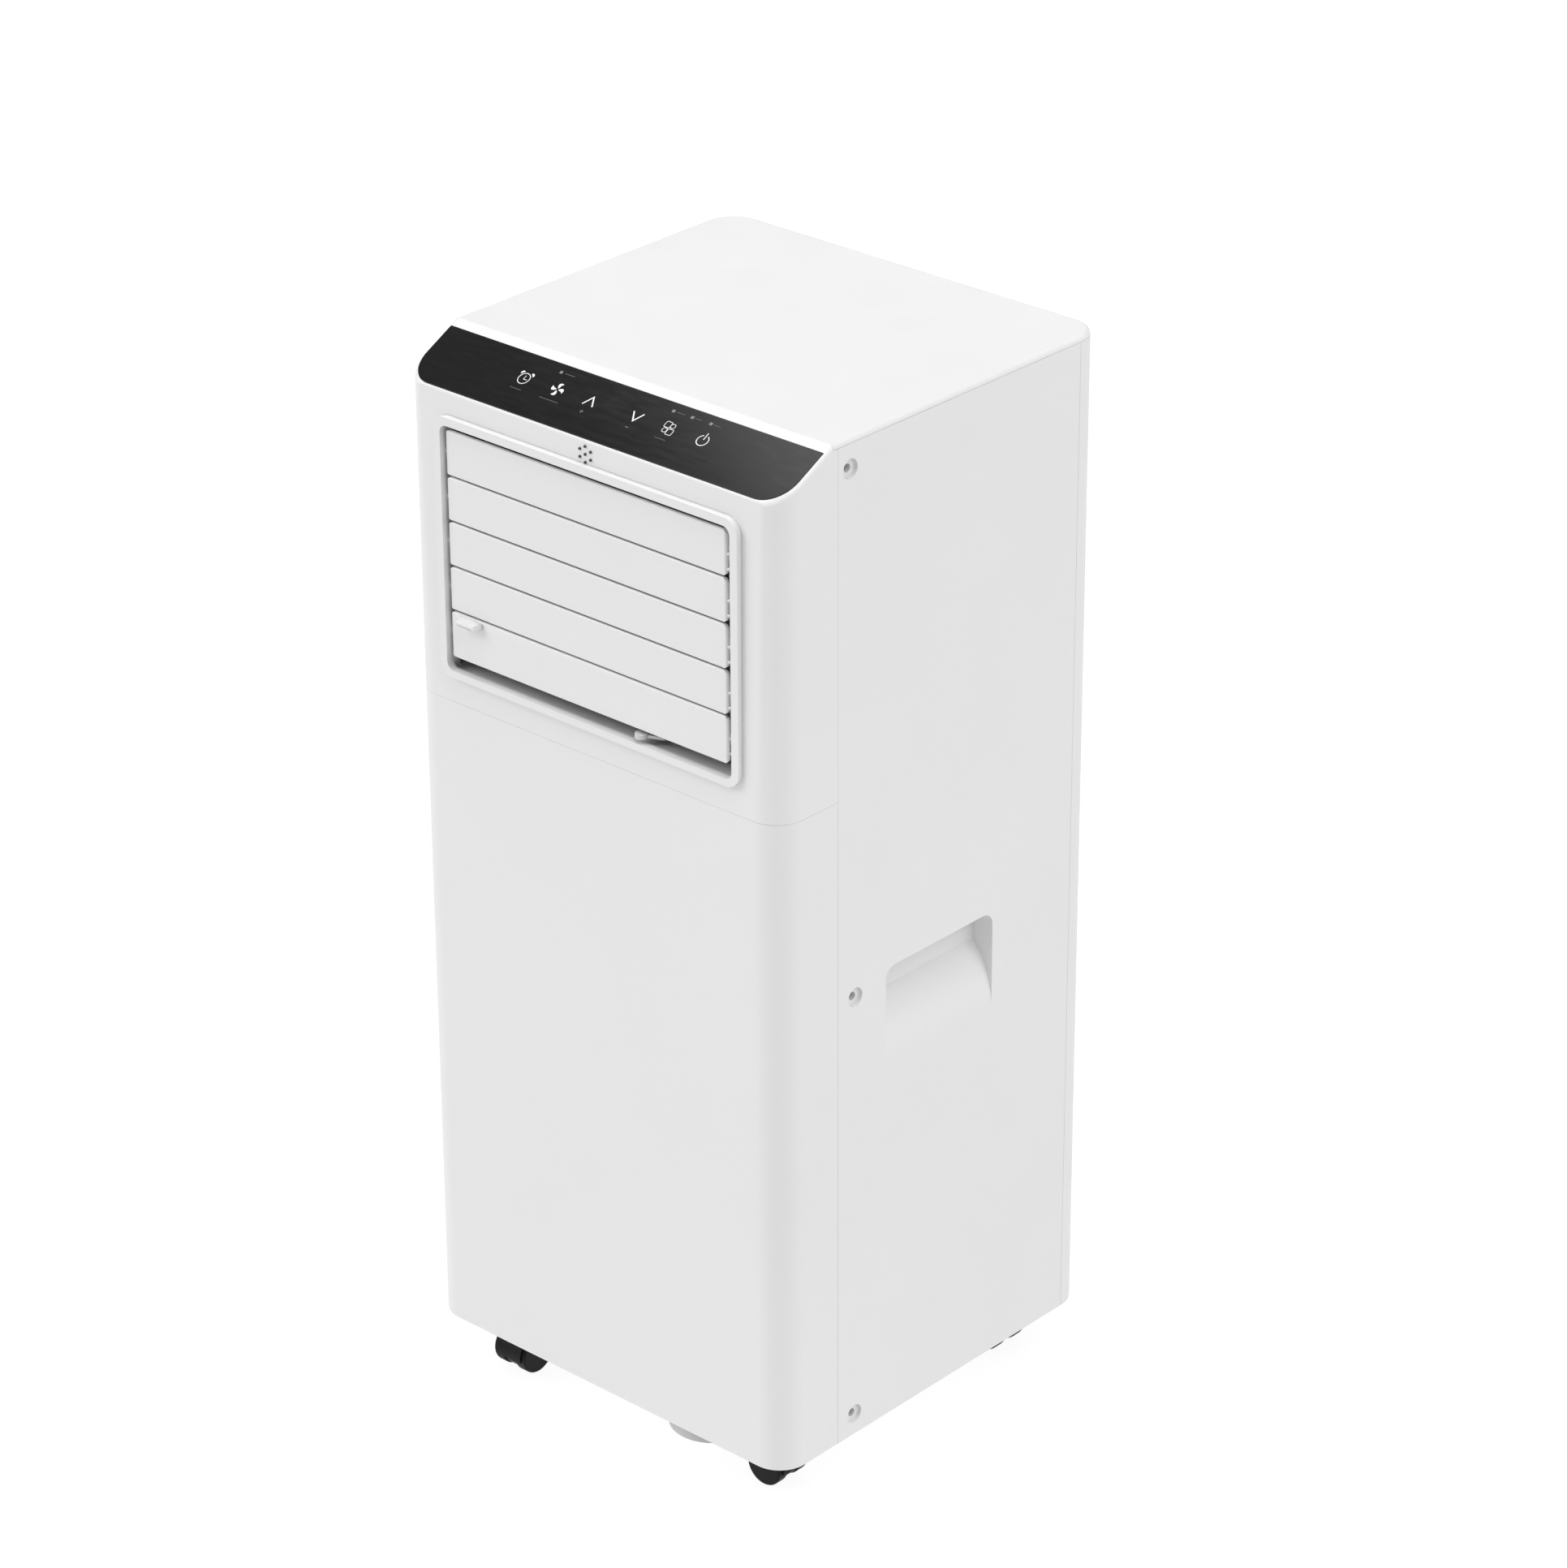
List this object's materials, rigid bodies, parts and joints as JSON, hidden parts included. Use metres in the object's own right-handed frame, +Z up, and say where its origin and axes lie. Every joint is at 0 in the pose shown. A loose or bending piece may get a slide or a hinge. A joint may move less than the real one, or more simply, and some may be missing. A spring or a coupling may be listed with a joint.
{
  "type": "portable air conditioner",
  "caption": "Upright room air conditioner on casters: white cabinet, slanted touch panel, linked louvres and vanes, side handles, rear intake grilles and exhaust port.",
  "frame": {"origin": "centre of the footprint at floor level", "axes": "+Z up, the louvre and control panel face -Y, +X to the right seen from the front"},
  "size_m": [0.285, 0.2884, 0.667],
  "materials": {
    "shell_white": "satin white moulding, fine grain",
    "vent_white": "satin white moulding",
    "vane_grey": "matte light grey moulding",
    "panel_black": "glossy black acrylic with white printed icons",
    "board_green": "circuit board lacquer",
    "screw_steel": "dark zinc",
    "duct_grey": "matte dark foam and moulding",
    "pan_grey": "matte light grey moulding",
    "fan_steel": "galvanised",
    "motor_grey": "satin grey",
    "coil_fin": "bare fins on copper tubes",
    "tank_black": "satin black",
    "rubber_black": "matte",
    "copper": "drawn copper tube",
    "can_silver": "smooth can",
    "wheel_ivory": "matte",
    "net_dark": "fine net in a moulded frame",
    "caster_black": "satin black moulding",
    "tread_black": "hard black wheel"
  },
  "bodies": {
    "root": {"top_cover": "shell_white", "front_upper_shell": "shell_white", "front_lower_shell": "shell_white", "side_panel_left": "shell_white", "side_panel_right": "shell_white", "rear_panel": "shell_white", "base_pan": "pan_grey", "control_panel": "panel_black", "display_board": "board_green", "casing_screws": "screw_steel", "louver_frame": "vent_white", "outlet_duct": "duct_grey", "evaporator_scroll": "duct_grey", "evaporator_motor": "motor_grey", "evaporator_coil": "coil_fin", "drip_tray": "pan_grey", "condenser_scroll": "duct_grey", "condenser_motor": "motor_grey", "condenser_coil": "coil_fin", "compressor": "tank_black", "compressor_feet": "rubber_black", "discharge_pipe": "copper", "suction_pipe": "copper", "liquid_pipe": "copper", "electric_box": "pan_grey", "main_board": "board_green", "run_capacitor": "can_silver", "splash_motor": "motor_grey", "lower_grille": "vent_white", "exhaust_socket": "vent_white", "cord_gland": "rubber_black"},
    "louver_1": {"louver_1": "vent_white"},
    "louver_2": {"louver_2": "vent_white"},
    "louver_3": {"louver_3": "vent_white"},
    "louver_4": {"louver_4": "vent_white"},
    "louver_5": {"louver_5": "vent_white"},
    "louver_link": {"louver_link": "vane_grey"},
    "vane_1": {"vane_1": "vane_grey"},
    "vane_2": {"vane_2": "vane_grey"},
    "vane_3": {"vane_3": "vane_grey"},
    "vane_4": {"vane_4": "vane_grey"},
    "vane_5": {"vane_5": "vane_grey"},
    "vane_6": {"vane_6": "vane_grey"},
    "vane_7": {"vane_7": "vane_grey"},
    "vane_link": {"vane_link": "vane_grey"},
    "evaporator_fan": {"evaporator_fan": "fan_steel"},
    "condenser_fan": {"condenser_fan": "fan_steel"},
    "splash_wheel": {"splash_wheel": "wheel_ivory"},
    "drain_plug": {"drain_plug": "rubber_black"},
    "caster_front_left": {"caster_front_left": "caster_black"},
    "caster_front_right": {"caster_front_right": "caster_black"},
    "caster_rear_left": {"caster_rear_left": "caster_black"},
    "caster_rear_right": {"caster_rear_right": "caster_black"},
    "wheels_front_left": {"wheels_front_left": "tread_black"},
    "wheels_front_right": {"wheels_front_right": "tread_black"},
    "wheels_rear_left": {"wheels_rear_left": "tread_black"},
    "wheels_rear_right": {"wheels_rear_right": "tread_black"},
    "intake_grille": {"intake_grille": "vent_white", "filter_net": "net_dark"}
  },
  "joints": [
    {"name": "louver_5_tilt", "type": "hinge", "parent": "root", "child": "louver_5", "pos_m": [0, -0.1342, 0.4972], "axis": [1, 0, 0], "range_deg": [0, 80]},
    {"name": "louver_1_tilt", "type": "hinge", "parent": "root", "child": "louver_1", "pos_m": [0, -0.1342, 0.6076], "axis": [1, 0, 0], "range_deg": [0, 80]},
    {"name": "louver_2_tilt", "type": "hinge", "parent": "root", "child": "louver_2", "pos_m": [0, -0.1342, 0.58], "axis": [1, 0, 0], "range_deg": [0, 80]},
    {"name": "louver_3_tilt", "type": "hinge", "parent": "root", "child": "louver_3", "pos_m": [0, -0.1342, 0.5524], "axis": [1, 0, 0], "range_deg": [0, 80]},
    {"name": "louver_4_tilt", "type": "hinge", "parent": "root", "child": "louver_4", "pos_m": [0, -0.1342, 0.5248], "axis": [1, 0, 0], "range_deg": [0, 80]},
    {"name": "louver_link_pivot", "type": "hinge", "parent": "louver_5", "child": "louver_link", "pos_m": [-0.1131, -0.12731, 0.49141], "axis": [1, 0, 0], "range_deg": [-80, 0]},
    {"name": "vane_6_swing", "type": "hinge", "parent": "root", "child": "vane_6", "pos_m": [0.062, -0.104, 0.55], "axis": [0, 0, 1], "range_deg": [-5, 75]},
    {"name": "vane_1_swing", "type": "hinge", "parent": "root", "child": "vane_1", "pos_m": [-0.093, -0.104, 0.55], "axis": [0, 0, 1], "range_deg": [-5, 75]},
    {"name": "vane_2_swing", "type": "hinge", "parent": "root", "child": "vane_2", "pos_m": [-0.062, -0.104, 0.55], "axis": [0, 0, 1], "range_deg": [-5, 75]},
    {"name": "vane_3_swing", "type": "hinge", "parent": "root", "child": "vane_3", "pos_m": [-0.031, -0.104, 0.55], "axis": [0, 0, 1], "range_deg": [-5, 75]},
    {"name": "vane_4_swing", "type": "hinge", "parent": "root", "child": "vane_4", "pos_m": [0, -0.104, 0.55], "axis": [0, 0, 1], "range_deg": [-5, 75]},
    {"name": "vane_5_swing", "type": "hinge", "parent": "root", "child": "vane_5", "pos_m": [0.031, -0.104, 0.55], "axis": [0, 0, 1], "range_deg": [-5, 75]},
    {"name": "vane_7_swing", "type": "hinge", "parent": "root", "child": "vane_7", "pos_m": [0.093, -0.104, 0.55], "axis": [0, 0, 1], "range_deg": [-5, 75]},
    {"name": "vane_link_pivot", "type": "hinge", "parent": "vane_6", "child": "vane_link", "pos_m": [0.07003, -0.09253, 0.47775], "axis": [0, 0, 1], "range_deg": [-75, 5]},
    {"name": "evaporator_fan_spin", "type": "hinge", "parent": "root", "child": "evaporator_fan", "pos_m": [0, 0.065, 0.546], "axis": [0, 1, 0], "continuous": true},
    {"name": "condenser_fan_spin", "type": "hinge", "parent": "root", "child": "condenser_fan", "pos_m": [0, 0.065, 0.172], "axis": [0, 1, 0], "continuous": true},
    {"name": "splash_wheel_spin", "type": "hinge", "parent": "root", "child": "splash_wheel", "pos_m": [0.098, 0.08, 0.066], "axis": [0, 1, 0], "continuous": true},
    {"name": "intake_grille_hinge", "type": "hinge", "parent": "root", "child": "intake_grille", "pos_m": [0, 0.1392, 0.453], "axis": [-1, 0, 0], "range_deg": [0, 45]},
    {"name": "drain_plug_pull", "type": "slide", "parent": "root", "child": "drain_plug", "axis": [0, 1, 0], "range_m": [0, 0.04]},
    {"name": "caster_front_left_swivel", "type": "hinge", "parent": "root", "child": "caster_front_left", "pos_m": [-0.093, -0.1, 0.04], "axis": [0, 0, 1], "continuous": true},
    {"name": "caster_front_right_swivel", "type": "hinge", "parent": "root", "child": "caster_front_right", "pos_m": [0.093, -0.1, 0.04], "axis": [0, 0, 1], "continuous": true},
    {"name": "caster_rear_left_swivel", "type": "hinge", "parent": "root", "child": "caster_rear_left", "pos_m": [-0.093, 0.1, 0.04], "axis": [0, 0, 1], "continuous": true},
    {"name": "caster_rear_right_swivel", "type": "hinge", "parent": "root", "child": "caster_rear_right", "pos_m": [0.093, 0.1, 0.04], "axis": [0, 0, 1], "continuous": true},
    {"name": "wheels_front_left_roll", "type": "hinge", "parent": "caster_front_left", "child": "wheels_front_left", "pos_m": [-0.093, -0.112, 0.0127], "axis": [1, 0, 0], "continuous": true},
    {"name": "wheels_front_right_roll", "type": "hinge", "parent": "caster_front_right", "child": "wheels_front_right", "pos_m": [0.105, -0.1, 0.0127], "axis": [0, 1, 0], "continuous": true},
    {"name": "wheels_rear_left_roll", "type": "hinge", "parent": "caster_rear_left", "child": "wheels_rear_left", "pos_m": [-0.093, 0.088, 0.0127], "axis": [1, 0, 0], "continuous": true},
    {"name": "wheels_rear_right_roll", "type": "hinge", "parent": "caster_rear_right", "child": "wheels_rear_right", "pos_m": [0.105, 0.1, 0.0127], "axis": [0, 1, 0], "continuous": true}
  ],
  "couplings": [
    {"joint": "louver_1_tilt", "follows": "louver_5_tilt", "ratio": 1},
    {"joint": "louver_2_tilt", "follows": "louver_5_tilt", "ratio": 1},
    {"joint": "louver_3_tilt", "follows": "louver_5_tilt", "ratio": 1},
    {"joint": "louver_4_tilt", "follows": "louver_5_tilt", "ratio": 1},
    {"joint": "louver_link_pivot", "follows": "louver_5_tilt", "ratio": -1},
    {"joint": "vane_1_swing", "follows": "vane_6_swing", "ratio": 1},
    {"joint": "vane_2_swing", "follows": "vane_6_swing", "ratio": 1},
    {"joint": "vane_3_swing", "follows": "vane_6_swing", "ratio": 1},
    {"joint": "vane_4_swing", "follows": "vane_6_swing", "ratio": 1},
    {"joint": "vane_5_swing", "follows": "vane_6_swing", "ratio": 1},
    {"joint": "vane_7_swing", "follows": "vane_6_swing", "ratio": 1},
    {"joint": "vane_link_pivot", "follows": "vane_6_swing", "ratio": -1}
  ]
}
